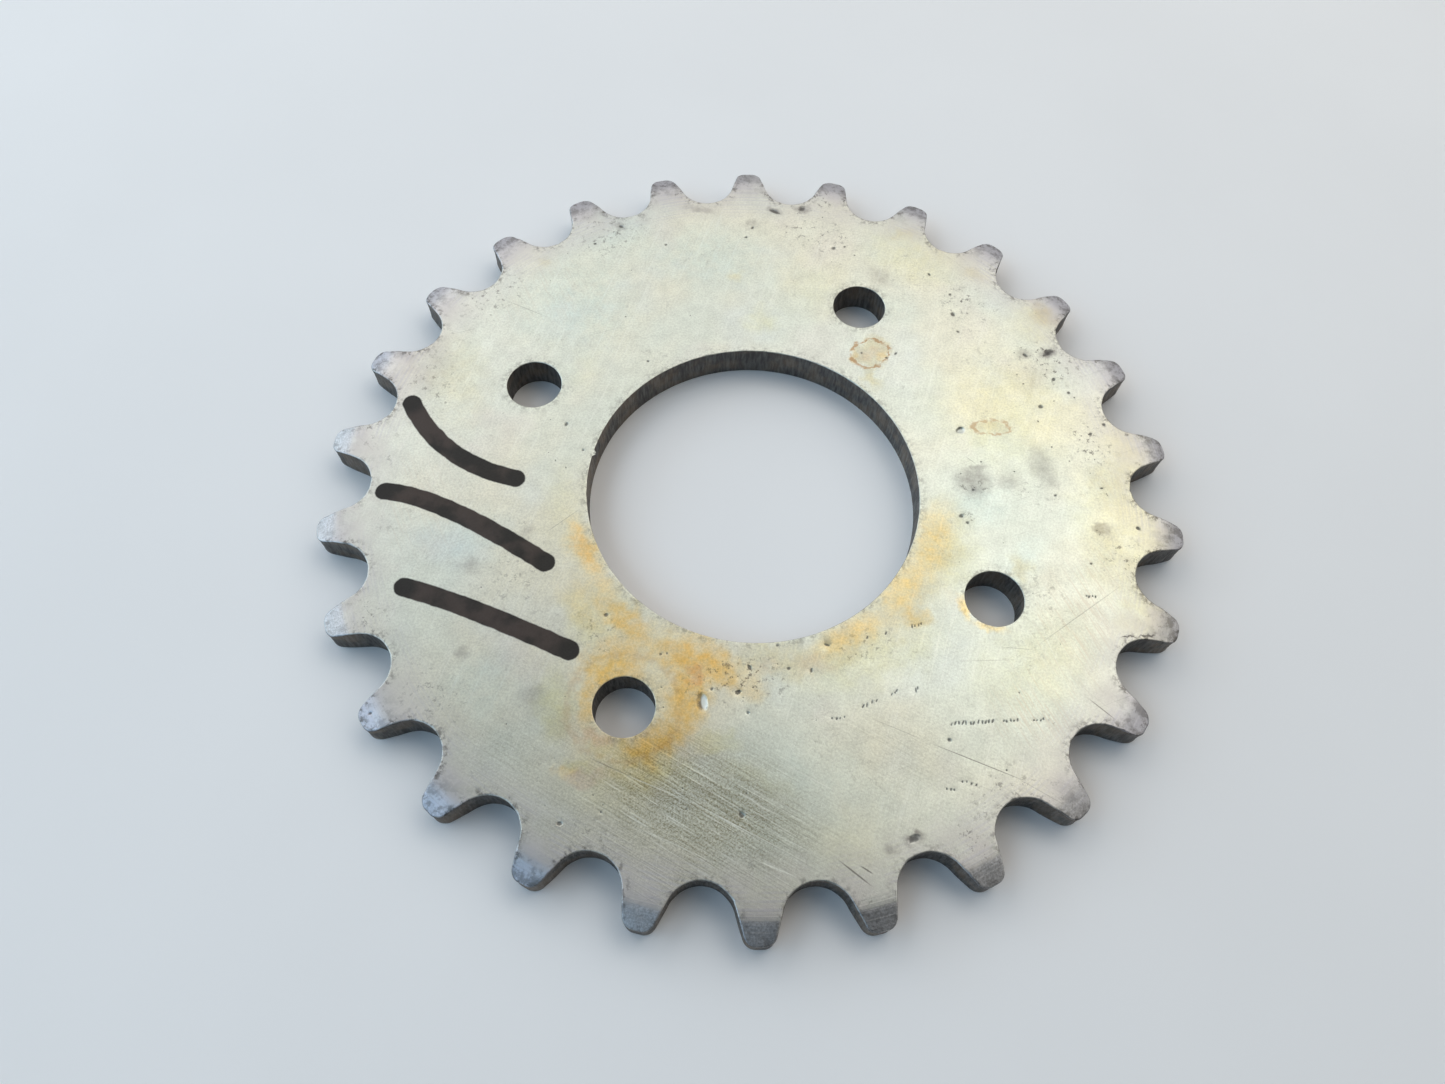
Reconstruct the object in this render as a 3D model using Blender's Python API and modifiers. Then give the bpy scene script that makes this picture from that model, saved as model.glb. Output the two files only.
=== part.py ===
"""Rear sprocket of a light motorcycle: one flat steel plate with chain teeth round its rim.

Metres, +Z up. The plate lies on its back face at z = 0 with its axis on Z. The middle of a
tooth and the middle of a bolt hole are both on +X, and each hole is a quarter turn from the next.
"""

from math import atan2, cos, pi, radians, sin, sqrt, tan

import bmesh
import bpy
from mathutils import Vector

MM = 0.001

# The roller chain that the teeth carry
CHAIN_PITCH = 12.7 * MM
TEETH = 26

# The plate
THICKNESS = 4.5 * MM
TIP_RADIUS = 55.0 * MM
BORE_RADIUS = 21.25 * MM
EDGE_BREAK = 0.2 * MM

# The bolt holes
BOLT_HOLES = 4
BOLT_CIRCLE_RADIUS = 33.0 * MM
BOLT_HOLE_RADIUS = 3.6 * MM

# One tooth: a round seat for the roller, a straight flank and a rounded corner at the tip
SEAT_RADIUS = 3.9 * MM
SEAT_HALF_ANGLE = radians(67.5)
TIP_CORNER_RADIUS = 1.5 * MM

# The chamfer turned on both sides of the tooth tips
CHAMFER_INNER_RADIUS = 52.4 * MM
CHAMFER_ANGLE = radians(15)

# How far the turned blank reaches past the tooth tips, and cutters past the plate's faces
CLEARANCE = 1.0 * MM

# How finely round stretches are divided
SEAT_STEPS = 6
CORNER_STEPS = 4
BLANK_STEPS = 6 * TEETH
HOLE_STEPS = 32

PITCH_RADIUS = CHAIN_PITCH / 2 / sin(pi / TEETH)
HALF_TOOTH_ANGLE = pi / TEETH

STEEL_COLOUR = (0.60, 0.60, 0.53, 1.0)
STEEL_ROUGHNESS = 0.38
STEEL_METALLIC = 0.9


def clear_scene():
    for item in list(bpy.data.objects):
        bpy.data.objects.remove(item, do_unlink=True)


def new_collection(name):
    collection = bpy.data.collections.new(name)
    bpy.context.scene.collection.children.link(collection)
    return collection


def direction(angle):
    return Vector((cos(angle), sin(angle)))


def turned_about_axis(point, angle):
    x, y = point
    return Vector((x * cos(angle) - y * sin(angle), x * sin(angle) + y * cos(angle)))


def half_tooth():
    """Points from the lowest point of a gap up to the middle of the next tooth's tip, which is
    on +X. The gap is half a tooth clockwise of it."""
    seat = []
    for step in range(SEAT_STEPS + 1):
        wrap = SEAT_HALF_ANGLE * step / SEAT_STEPS
        on_seat = Vector((PITCH_RADIUS - SEAT_RADIUS * cos(wrap), SEAT_RADIUS * sin(wrap)))
        seat.append(turned_about_axis(on_seat, -HALF_TOOTH_ANGLE))

    # The flank leaves the seat along its tangent. The corner's circle touches the flank from
    # inside the tooth, and the tip's circle from inside too, which fixes its centre.
    flank_angle = pi / 2 - SEAT_HALF_ANGLE - HALF_TOOTH_ANGLE
    along = direction(flank_angle)
    inward = direction(flank_angle + pi / 2)
    start = seat[-1] + inward * TIP_CORNER_RADIUS
    reach = (TIP_RADIUS - TIP_CORNER_RADIUS) ** 2 - start.length_squared
    travel = -start.dot(along) + sqrt(start.dot(along) ** 2 + reach)
    centre = start + along * travel

    first = flank_angle - pi / 2
    last = atan2(centre.y, centre.x)
    corner = []
    for step in range(CORNER_STEPS + 1):
        angle = first + (last - first) * step / CORNER_STEPS
        corner.append(centre + direction(angle) * TIP_CORNER_RADIUS)
    return seat + corner + [Vector((TIP_RADIUS, 0))]


def toothed_outline():
    rising = half_tooth()
    falling = [Vector((point.x, -point.y)) for point in reversed(rising[1:-1])]
    points = []
    for tooth in range(TEETH):
        turn = 2 * HALF_TOOTH_ANGLE * tooth
        points += [turned_about_axis(point, turn) for point in rising + falling]
    return points


def flat_solid(name, outline, low, high, collection):
    """A closed mesh of a flat outline, from height low to height high."""
    curve = bpy.data.curves.new(name + "_outline", "CURVE")
    curve.dimensions = "2D"
    curve.fill_mode = "BOTH"
    curve.extrude = (high - low) / 2
    spline = curve.splines.new("POLY")
    spline.points.add(len(outline) - 1)
    for control, point in zip(spline.points, outline):
        control.co = (point.x, point.y, 0, 1)
    spline.use_cyclic_u = True
    shape = bpy.data.objects.new(name + "_outline", curve)
    shape.location.z = (low + high) / 2
    collection.objects.link(shape)

    bpy.context.view_layer.update()
    evaluated = shape.evaluated_get(bpy.context.evaluated_depsgraph_get())
    mesh = bpy.data.meshes.new_from_object(evaluated)
    mesh.name = name
    work = bmesh.new()
    work.from_mesh(mesh)
    bmesh.ops.remove_doubles(work, verts=work.verts, dist=0.001 * MM)
    bmesh.ops.recalc_face_normals(work, faces=work.faces)
    work.to_mesh(mesh)
    work.free()

    solid = bpy.data.objects.new(name, mesh)
    solid.matrix_world = shape.matrix_world
    collection.objects.link(solid)
    bpy.data.objects.remove(shape, do_unlink=True)
    return solid


def turned_cutter(name, profile, closed, steps, collection):
    """A shape turned about Z from a profile of (radius, height) points, kept as a cutter."""
    mesh = bpy.data.meshes.new(name)
    edges = [(index, index + 1) for index in range(len(profile) - 1)]
    if closed:
        edges.append((len(profile) - 1, 0))
    mesh.from_pydata([(radius, 0, height) for radius, height in profile], edges, [])
    cutter = bpy.data.objects.new(name, mesh)
    collection.objects.link(cutter)
    screw = cutter.modifiers.new("turn", "SCREW")
    screw.axis = "Z"
    screw.angle = 2 * pi
    screw.steps = steps
    screw.render_steps = steps
    screw.use_merge_vertices = True
    screw.merge_threshold = 0.001 * MM
    cutter.hide_render = True
    cutter.display_type = "WIRE"
    return cutter


def ring_blank(collection):
    """The turned ring before its teeth are cut: both faces, the tip chamfers and the bore."""
    outer = TIP_RADIUS + CLEARANCE
    drop = (outer - CHAMFER_INNER_RADIUS) * tan(CHAMFER_ANGLE)
    profile = [
        (BORE_RADIUS + EDGE_BREAK, THICKNESS),
        (CHAMFER_INNER_RADIUS, THICKNESS),
        (outer, THICKNESS - drop),
        (outer, drop),
        (CHAMFER_INNER_RADIUS, 0),
        (BORE_RADIUS + EDGE_BREAK, 0),
        (BORE_RADIUS, EDGE_BREAK),
        (BORE_RADIUS, THICKNESS - EDGE_BREAK),
    ]
    return turned_cutter("ring_blank", profile, True, BLANK_STEPS, collection)


def bolt_hole_cutter(number, collection):
    """A drill with a slight countersink at each face, standing on the bolt circle."""
    flare = BOLT_HOLE_RADIUS + EDGE_BREAK + CLEARANCE
    profile = [
        (0, THICKNESS + CLEARANCE),
        (flare, THICKNESS + CLEARANCE),
        (BOLT_HOLE_RADIUS, THICKNESS - EDGE_BREAK),
        (BOLT_HOLE_RADIUS, EDGE_BREAK),
        (flare, -CLEARANCE),
        (0, -CLEARANCE),
    ]
    name = "bolt_hole_{}".format(number + 1)
    cutter = turned_cutter(name, profile, False, HOLE_STEPS, collection)
    place = direction(2 * pi * number / BOLT_HOLES) * BOLT_CIRCLE_RADIUS
    cutter.location = (place.x, place.y, 0)
    return cutter


def boolean(target, cutter, operation):
    modifier = target.modifiers.new(cutter.name, "BOOLEAN")
    modifier.operation = operation
    modifier.solver = "EXACT"
    modifier.object = cutter


def zinc_plated_steel():
    material = bpy.data.materials.new("zinc_plated_steel")
    material.use_nodes = True
    shader = material.node_tree.nodes["Principled BSDF"]
    shader.inputs["Base Color"].default_value = STEEL_COLOUR
    shader.inputs["Roughness"].default_value = STEEL_ROUGHNESS
    shader.inputs["Metallic"].default_value = STEEL_METALLIC
    material.diffuse_color = STEEL_COLOUR
    return material


def build_sprocket():
    parts = new_collection("rear_sprocket")
    cutters = new_collection("cutters")

    plate = flat_solid(
        "sprocket_plate", toothed_outline(), -CLEARANCE, THICKNESS + CLEARANCE, parts
    )
    boolean(plate, ring_blank(cutters), "INTERSECT")
    for number in range(BOLT_HOLES):
        boolean(plate, bolt_hole_cutter(number, cutters), "DIFFERENCE")
    plate.data.materials.append(zinc_plated_steel())


clear_scene()
build_sprocket()
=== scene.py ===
"""Looks of the rear sprocket: a finer mesh of the plate with its wear, and its zinc-plated steel.

Lengths in the mesh and material code are millimetres. Places on the plate's face are given as it
lies before the camera, with x to the right, y away from the camera and the bore's centre at 0, 0.
"""

import random
from math import atan2, ceil, cos, hypot, pi, radians, sin, sqrt, tan

import bpy
from mathutils import Matrix, Vector, noise
from mathutils.geometry import delaunay_2d_cdt, interpolate_bezier
from mathutils.kdtree import KDTree


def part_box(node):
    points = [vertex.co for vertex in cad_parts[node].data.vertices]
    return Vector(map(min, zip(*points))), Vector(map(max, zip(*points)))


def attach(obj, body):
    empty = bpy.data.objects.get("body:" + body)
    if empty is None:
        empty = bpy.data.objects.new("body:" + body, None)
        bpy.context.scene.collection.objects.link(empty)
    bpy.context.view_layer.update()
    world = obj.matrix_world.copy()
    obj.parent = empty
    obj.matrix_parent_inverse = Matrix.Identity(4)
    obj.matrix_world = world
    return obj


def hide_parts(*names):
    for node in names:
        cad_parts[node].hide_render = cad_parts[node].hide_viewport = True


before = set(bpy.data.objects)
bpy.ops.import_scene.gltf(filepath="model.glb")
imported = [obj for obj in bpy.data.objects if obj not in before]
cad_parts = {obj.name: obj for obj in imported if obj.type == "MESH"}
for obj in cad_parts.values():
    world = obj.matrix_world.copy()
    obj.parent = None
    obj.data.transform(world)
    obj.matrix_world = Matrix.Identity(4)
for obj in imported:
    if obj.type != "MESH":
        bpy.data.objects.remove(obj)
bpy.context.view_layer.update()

MM = 0.001
NODE = "sprocket_plate"
SEED = 26

# ---------------- sizes, the same as the CAD's
low_corner, high_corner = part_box(NODE)
THICKNESS = (high_corner[2] - low_corner[2]) / MM
TIP_RADIUS = (high_corner[0] - low_corner[0]) / 2 / MM
TEETH = 26
CHAIN_PITCH = 12.7
PITCH_RADIUS = CHAIN_PITCH / 2 / sin(pi / TEETH)
HALF_TOOTH_ANGLE = pi / TEETH
BORE_RADIUS = 21.25
BOLT_HOLES = 4
BOLT_CIRCLE_RADIUS = 33.0
BOLT_HOLE_RADIUS = 3.6
SEAT_RADIUS = 3.9
SEAT_HALF_ANGLE = radians(67.5)
TIP_CORNER_RADIUS = 1.5
CHAMFER_RADIUS = 52.4
CHAMFER_ANGLE = radians(15)

# How far the plate is turned about its axis before the camera
TURN = radians(64.94)

# ---------------- how finely the mesh is made
OUTLINE_SPACING = 0.33
FACE_SPACING = 0.95
INK_SPACING = 0.45
WALL_ROWS = 8
ROUND_STEPS = 3
FLAT_RIM = 0.07
PEN_STEPS = 200

# ---------------- how worn the plate is
CHAMFER_SOFTNESS = 0.55
CHAMFER_RAGGEDNESS = 0.2
FACE_WAVE = 0.012
EDGE_ROUND = 0.09
HOLE_WEAR = 0.45
BACK_PITS = 130
PITS_REACH = 47.5
BACK_PITS_REACH = 48

# ---------------- marks of use
# Dents and pits: place, half length, half width, turn in degrees, depth
DENTS = [
    (27.1, 10.1, 0.62, 0.45, 25, 0.26),
    (-5, -28.9, 1.15, 0.68, 100, 0.3),
    (1.6, 47, 0.95, 0.36, -25, 0.12),
    (5.7, 47.8, 0.65, 0.5, 30, 0.14),
    (-1.5, 43.6, 0.34, 0.24, 60, 0.1),
    (-2.4, 41.7, 0.28, 0.24, 0, 0.1),
    (-20.8, 42.5, 0.45, 0.26, -15, 0.09),
    (-14, 39.5, 0.28, 0.22, 40, 0.07),
    (-24.3, 39, 0.24, 0.2, 0, 0.06),
    (-15, 18.7, 0.26, 0.2, -30, 0.09),
    (10.4, 40.4, 0.4, 0.28, 15, 0.1),
    (12, 40.8, 0.24, 0.2, 0, 0.08),
    (24.2, 36.4, 0.32, 0.22, -45, 0.09),
    (27.2, 29.4, 0.46, 0.32, -60, 0.1),
    (27, 33, 0.28, 0.22, 50, 0.08),
    (27.7, 26.4, 0.3, 0.22, -20, 0.08),
    (40.1, 23.6, 0.78, 0.56, 35, 0.13),
    (36.8, 22.9, 0.45, 0.26, -40, 0.09),
    (40.4, 19.1, 0.34, 0.26, 60, 0.1),
    (42.2, 17, 0.3, 0.24, 0, 0.08),
    (38.2, 14.5, 0.36, 0.3, 10, 0.11),
    (46.4, 12.1, 0.3, 0.24, -30, 0.1),
    (44.4, 10.5, 0.34, 0.18, 25, 0.08),
    (26.5, -2.8, 0.34, 0.26, 0, 0.09),
    (27.2, -3.7, 0.28, 0.2, -30, 0.08),
    (28.2, 1.1, 0.2, 0.18, 0, 0.07),
    (38.8, 0.9, 0.24, 0.18, 30, 0.07),
    (44.9, 2.3, 0.26, 0.12, 5, 0.06),
    (48.9, -3.3, 0.34, 0.22, -35, 0.09),
    (42.3, -8.6, 0.2, 0.16, 0, 0.06),
    (0.3, -24.4, 0.34, 0.26, -50, 0.12),
    (-0.9, -27.5, 0.42, 0.28, 20, 0.12),
    (0.3, -29.9, 0.22, 0.18, 0, 0.09),
    (-17.1, -18.7, 0.32, 0.24, 35, 0.11),
    (-10.2, -23.3, 0.26, 0.18, 15, 0.08),
    (-4, -27.3, 0.26, 0.2, 40, 0.09),
    (4.9, -24.3, 0.28, 0.2, 0, 0.09),
    (7.6, -24.4, 0.34, 0.18, 80, 0.11),
    (9.4, -21.1, 0.45, 0.14, -15, 0.09),
    (3.5, -21.5, 0.2, 0.16, 0, 0.07),
    (-19.8, -43.4, 0.36, 0.26, 10, 0.09),
    (0, -41.5, 0.42, 0.3, -40, 0.1),
    (23.4, -31.9, 0.26, 0.2, -20, 0.1),
    (18.9, -43.1, 0.8, 0.45, 25, 0.07),
    (-24.9, 7.9, 0.34, 0.26, 50, 0.09),
    (-22.3, 4.1, 0.26, 0.16, 0, 0.08),
    (-20.9, 3.7, 0.24, 0.18, 0, 0.08),
    (-17, 12.9, 0.24, 0.16, -40, 0.07),
    (18.9, 22.1, 0.3, 0.18, 55, 0.08),
    (17.6, 21.3, 0.24, 0.18, 0, 0.08),
    (14.2, 21.9, 0.18, 0.15, 0, 0.06),
    (-42.8, -32.1, 0.26, 0.18, 20, 0.08),
]

# Rows of chatter marks: first place, last place, how many, length of each
CHATTER = [
    ((23.7, -30), (28.6, -29.4), 12, 0.3),
    ((29.8, -29.3), (31.4, -29.2), 5, 0.22),
    ((33.3, -29.1), (34.5, -28.9), 4, 0.15),
    ((13.6, -28.4), (15.1, -27.6), 4, 0.3),
    ((17, -26.8), (17.6, -26.4), 3, 0.26),
    ((19.8, -26.2), (20, -25.8), 2, 0.3),
    ((14.3, -19.8), (16.4, -19.3), 2, 0.34),
    ((19.7, -18.2), (20.8, -17.8), 4, 0.32),
    ((41.2, -13), (42.3, -13.1), 4, 0.2),
    ((10, -30.1), (11.4, -29.9), 4, 0.18),
    ((24.6, -36.5), (26.2, -36.8), 4, 0.16),
    ((22.8, -37.4), (23.6, -37.6), 3, 0.18),
]

# Small pits strewn by chance: place of each patch, its reach, how many
PIT_PATCHES = [
    (40, 20, 6, 8),
    (45, 6, 5, 6),
    (8, 43, 7, 7),
    (-24, 38, 8, 6),
    (-8, -24, 7, 8),
    (3, -24, 6, 9),
    (-20, -44, 7, 4),
    (0, 0, 46, 50),
]

# Plain strokes of a felt pen, each along a bent line through its points
PEN_WIDTH = 2.5
PEN_STROKES = [
    [(-45.6, 10), (-42.3, 4.3), (-37.2, 0.6), (-30.4, -0.6)],
    [(-46.6, -3.4), (-41, -3.6), (-33.4, -7.4), (-25.2, -12.2)],
    [(-41.8, -16.4), (-36.2, -17.6), (-29.6, -20), (-21, -23.4)],
]


# ---------------- the outline of the plate
def direction(angle):
    return Vector((cos(angle), sin(angle)))


def turned(point, angle):
    x, y = point
    return Vector((x * cos(angle) - y * sin(angle), x * sin(angle) + y * cos(angle)))


def on_plate(x, y):
    """A place as the camera sees it, in the plate's own frame."""
    return turned((x, y), -TURN)


def half_tooth():
    """Points from a gap's lowest point up to the middle of the next tooth's tip, on +X."""
    seat_steps, flank_steps, corner_steps = 16, 7, 8
    seat = []
    for step in range(seat_steps + 1):
        wrap = SEAT_HALF_ANGLE * step / seat_steps
        on_seat = Vector((PITCH_RADIUS - SEAT_RADIUS * cos(wrap), SEAT_RADIUS * sin(wrap)))
        seat.append(turned(on_seat, -HALF_TOOTH_ANGLE))
    flank_angle = pi / 2 - SEAT_HALF_ANGLE - HALF_TOOTH_ANGLE
    along = direction(flank_angle)
    start = seat[-1] + direction(flank_angle + pi / 2) * TIP_CORNER_RADIUS
    reach = (TIP_RADIUS - TIP_CORNER_RADIUS) ** 2 - start.length_squared
    travel = -start.dot(along) + sqrt(start.dot(along) ** 2 + reach)
    centre = start + along * travel
    flank = [seat[-1] + along * travel * step / flank_steps for step in range(1, flank_steps)]
    first = flank_angle - pi / 2
    last = atan2(centre.y, centre.x)
    corner = []
    for step in range(corner_steps + 1):
        angle = first + (last - first) * step / corner_steps
        corner.append(centre + direction(angle) * TIP_CORNER_RADIUS)
    return seat + flank + corner + [Vector((TIP_RADIUS, 0))]


def toothed_rim():
    rising = half_tooth()
    falling = [Vector((point.x, -point.y)) for point in reversed(rising[1:-1])]
    points = []
    for tooth in range(TEETH):
        turn = 2 * HALF_TOOTH_ANGLE * tooth
        points += [turned(point, turn) for point in rising + falling]
    return points


def round_hole(centre, radius):
    """A clockwise circle, so that the steel is on its left as on the left of the rim."""
    steps = ceil(2 * pi * radius / OUTLINE_SPACING)
    return [centre + direction(-2 * pi * step / steps) * radius for step in range(steps)]


def bolt_centres():
    turns = [2 * pi * hole / BOLT_HOLES for hole in range(BOLT_HOLES)]
    return [direction(turn) * BOLT_CIRCLE_RADIUS for turn in turns]


def edge_loops():
    holes = [round_hole(centre, BOLT_HOLE_RADIUS) for centre in bolt_centres()]
    return [toothed_rim(), round_hole(Vector((0, 0)), BORE_RADIUS)] + holes


def into_steel(points):
    """Each point's unit normal, pointing into the steel on the loop's left."""
    normals = []
    for index in range(len(points)):
        along = points[(index + 1) % len(points)] - points[index - 1]
        normals.append(Vector((-along.y, along.x)).normalized())
    return normals


def tree_of(points):
    """A tree that finds which of some points on the plate are near."""
    tree = KDTree(len(points))
    for index, point in enumerate(points):
        tree.insert((point[0], point[1], 0), index)
    tree.balance()
    return tree


def nearest(tree, x, y):
    """How far the nearest point of a tree is."""
    return tree.find((x, y, 0))[2]


# ---------------- wear on the faces
def lumps(x, y, z, scale):
    """Smooth noise from 0 to 1 with lumps about scale across."""
    return 0.5 + 0.5 * noise.noise(Vector((x, y, z)) / scale)


def all_dents():
    """Every dent of the front face: place in the plate's frame, axes, turn and depth."""
    chance = random.Random(SEED)
    dents = [(on_plate(x, y), a, b, radians(turn) - TURN, deep) for x, y, a, b, turn, deep in DENTS]
    for first, last, count, length in CHATTER:
        for number in range(count):
            share = number / (count - 1)
            x = first[0] + (last[0] - first[0]) * share + chance.uniform(-0.08, 0.08)
            y = first[1] + (last[1] - first[1]) * share + chance.uniform(-0.08, 0.08)
            turn = radians(chance.uniform(60, 95)) - TURN
            half = length * chance.uniform(0.7, 1.15)
            dents.append((on_plate(x, y), half, chance.uniform(0.09, 0.14), turn, 0.06))
    for x, y, reach, count in PIT_PATCHES:
        for _ in range(count):
            far = reach * sqrt(chance.random())
            place = Vector((x, y)) + direction(chance.uniform(0, 2 * pi)) * far
            half = chance.uniform(0.08, 0.17)
            turn = chance.uniform(0, pi)
            wide = half * chance.uniform(0.5, 0.9)
            if BORE_RADIUS + 0.8 < place.length < PITS_REACH:
                dents.append((on_plate(*place), half, wide, turn, half * 0.25))
    return dents


class Face:
    """Heights and wear of one face of the plate, as functions of the place on it."""

    def __init__(self, dents, seed):
        self.dents = dents
        self.seed = seed
        self.tree = tree_of([dent[0] for dent in dents])
        self.widest = max(dent[1] for dent in dents)

    def dent_at(self, x, y):
        """Depth of the dents at a place, and how far into one it is, from 0 to 1."""
        depth, inside = 0.0, 0.0
        for _, index, _ in self.tree.find_range((x, y, 0), self.widest):
            centre, half_long, half_wide, turn, deep = self.dents[index]
            local = turned((x - centre.x, y - centre.y), -turn)
            share = (local.x / half_long) ** 2 + (local.y / half_wide) ** 2
            share *= 0.7 + 0.6 * lumps(x, y, 3, 0.35)
            if share < 1:
                depth = max(depth, deep * (1 - share * share) * (0.75 + 0.25 * local.y / half_wide))
                inside = max(inside, 1 - share)
        return depth, inside

    def drop(self, x, y):
        """How far the worn face lies under its flat plane."""
        ragged = CHAMFER_RAGGEDNESS * (lumps(x, y, self.seed, 1.5) - 0.5)
        past = hypot(x, y) - CHAMFER_RADIUS + ragged
        chamfer = (past + hypot(past, CHAMFER_SOFTNESS)) / 2 * tan(CHAMFER_ANGLE)
        wave = FACE_WAVE * lumps(x, y, self.seed, 9)
        return chamfer + wave + self.dent_at(x, y)[0]


# ---------------- the mesh
class PlateMesh:
    """Vertices, faces and wear values of the plate, in millimetres.

    The value wall rises from 0 on a face to 1 on a wall, rim is the distance to the nearest edge,
    and hollow rises from 0 at a dent's outline to 1 in its middle.
    """

    def __init__(self, top, bottom):
        self.top = top
        self.bottom = bottom
        self.vertices = []
        self.faces = []
        self.wear = {"wall": [], "rim": [], "hollow": []}
        self.rim_tree = None

    def add(self, x, y, z, wall, rim, hollow):
        self.vertices.append((x, y, z))
        self.wear["wall"].append(wall)
        self.wear["rim"].append(rim)
        self.wear["hollow"].append(hollow)
        return len(self.vertices) - 1

    def height(self, upper, x, y, lowered):
        """The height of a face's surface, lowered towards the middle of the plate."""
        if upper:
            return THICKNESS - self.top.drop(x, y) - lowered
        return self.bottom.drop(x, y) + lowered

    def column(self, point, normal, uneven):
        """One column of vertices from the bottom face, up the wall, to the top face."""
        x, y = point
        inset = uneven * (0.07 * lumps(x, y, 0, 4) + 0.05 * lumps(x, y, 5, 1.2))
        column = []
        rounds = []
        for level in (0, THICKNESS):
            nick = max(0.0, lumps(x, y, level + 20, 0.8) - 0.62)
            rounds.append(EDGE_ROUND + uneven * (0.08 * lumps(x, y, level + 10, 2.5) + 0.6 * nick))

        def place(offset):
            return point + normal * (inset + offset)

        def edge(upper, radius):
            rows = []
            for step in range(ROUND_STEPS + 1):
                angle = pi / 2 * step / ROUND_STEPS
                spot = place(radius * (1 - sin(angle)))
                z = self.height(upper, spot.x, spot.y, radius * (1 - cos(angle)))
                rows.append(self.add(spot.x, spot.y, z, step / ROUND_STEPS, 0, 0))
            return rows

        def flat(upper, radius):
            spot = place(radius + FLAT_RIM)
            z = self.height(upper, spot.x, spot.y, 0)
            return self.add(spot.x, spot.y, z, 0, radius + FLAT_RIM, 0)

        column.append(flat(False, rounds[0]))
        column += edge(False, rounds[0])
        low = self.vertices[column[-1]][2]
        high = self.height(True, place(0).x, place(0).y, rounds[1])
        for row in range(1, WALL_ROWS + 1):
            z = low + (high - low) * row / (WALL_ROWS + 1)
            ends = min(row, WALL_ROWS + 1 - row) / 2
            rough = 0.07 * lumps(x, y, z * 0.4, 0.9) + 0.04 * lumps(x, y, z, 0.4)
            spot = place(uneven * rough * min(ends, 1))
            column.append(self.add(spot.x, spot.y, z, 1, 0, 0))
        column += reversed(edge(True, rounds[1]))
        column.append(flat(True, rounds[1]))
        return column

    def add_walls(self, loops):
        """Builds every wall, and returns the columns of each loop."""
        walls = []
        for number, points in enumerate(loops):
            uneven = 1.0 if number == 0 else HOLE_WEAR
            columns = [
                self.column(point, normal, uneven)
                for point, normal in zip(points, into_steel(points))
            ]
            for index, right in enumerate(columns):
                left = columns[index - 1]
                for row in range(len(right) - 1):
                    self.faces.append((left[row], right[row], right[row + 1], left[row + 1]))
            walls.append(columns)
        return walls

    def add_face(self, upper, walls, between):
        """Fills one face with triangles from wall to wall, through the points between them."""
        row = -1 if upper else 0
        loops = [[column[row] for column in columns] for columns in walls]
        places = []
        owners = []
        edges = []
        for loop in loops:
            first = len(places)
            for index, vertex in enumerate(loop):
                places.append(Vector(self.vertices[vertex][:2]))
                owners.append(vertex)
                edges.append((first + index, first + (index + 1) % len(loop)))
        places += between
        spots, _, triangles, origins, _, _ = delaunay_2d_cdt(places, edges, [], 1, 1e-6)
        centres = bolt_centres()
        made = {}

        def owner(index):
            source = origins[index][0]
            if source < len(owners):
                return owners[source]
            if index not in made:
                x, y = spots[index]
                face = self.top if upper else self.bottom
                inside = face.dent_at(x, y)[1]
                rim = nearest(self.rim_tree, x, y)
                made[index] = self.add(x, y, self.height(upper, x, y, 0), 0, rim, inside)
            return made[index]

        for triangle in triangles:
            middle = (spots[triangle[0]] + spots[triangle[1]] + spots[triangle[2]]) / 3
            if middle.length < BORE_RADIUS:
                continue
            if min((middle - centre).length for centre in centres) < BOLT_HOLE_RADIUS:
                continue
            corners = [owner(index) for index in triangle]
            self.faces.append(tuple(corners if upper else reversed(corners)))


def pen_curves():
    """Points close together along each pen stroke, in the plate's frame."""
    curves = []
    for handles in PEN_STROKES:
        knots = [on_plate(x, y).to_3d() for x, y in handles]
        curves.append(interpolate_bezier(*knots, PEN_STEPS))
    return curves


def lattice(spacing):
    """A triangular lattice of points over the whole plate."""
    points = []
    rows = ceil(TIP_RADIUS / (spacing * sqrt(3) / 2))
    across = ceil(TIP_RADIUS / spacing)
    for row in range(-rows, rows + 1):
        for step in range(-across, across + 1):
            points.append(Vector(((step + 0.5 * (row % 2)) * spacing, row * spacing * sqrt(3) / 2)))
    return points


def dent_points(dent):
    """Rings of points that carry one dent's shape."""
    centre, half_long, half_wide, turn, _ = dent
    fine = half_long > 0.3
    shares = (0.3, 0.55, 0.75, 0.88, 0.96, 1.02, 1.2) if fine else (0.5, 0.85, 1.05, 1.5)
    steps = 18 if fine else 9
    points = [centre]
    for ring, share in enumerate(shares):
        for step in range(steps):
            angle = 2 * pi * (step + 0.5 * (ring % 2)) / steps
            local = (share * half_long * cos(angle), share * half_wide * sin(angle))
            points.append(centre + turned(local, turn))
    return points


def chamfer_points():
    """Rings of points round the teeth where the chamfer bends and runs."""
    points = []
    for past in (-0.5, -0.25, -0.1, 0.0, 0.1, 0.25, 0.5, 1.0, 1.6):
        radius = CHAMFER_RADIUS + past
        steps = ceil(2 * pi * radius / 0.4)
        points += [direction(2 * pi * step / steps) * radius for step in range(steps)]
    return points


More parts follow.
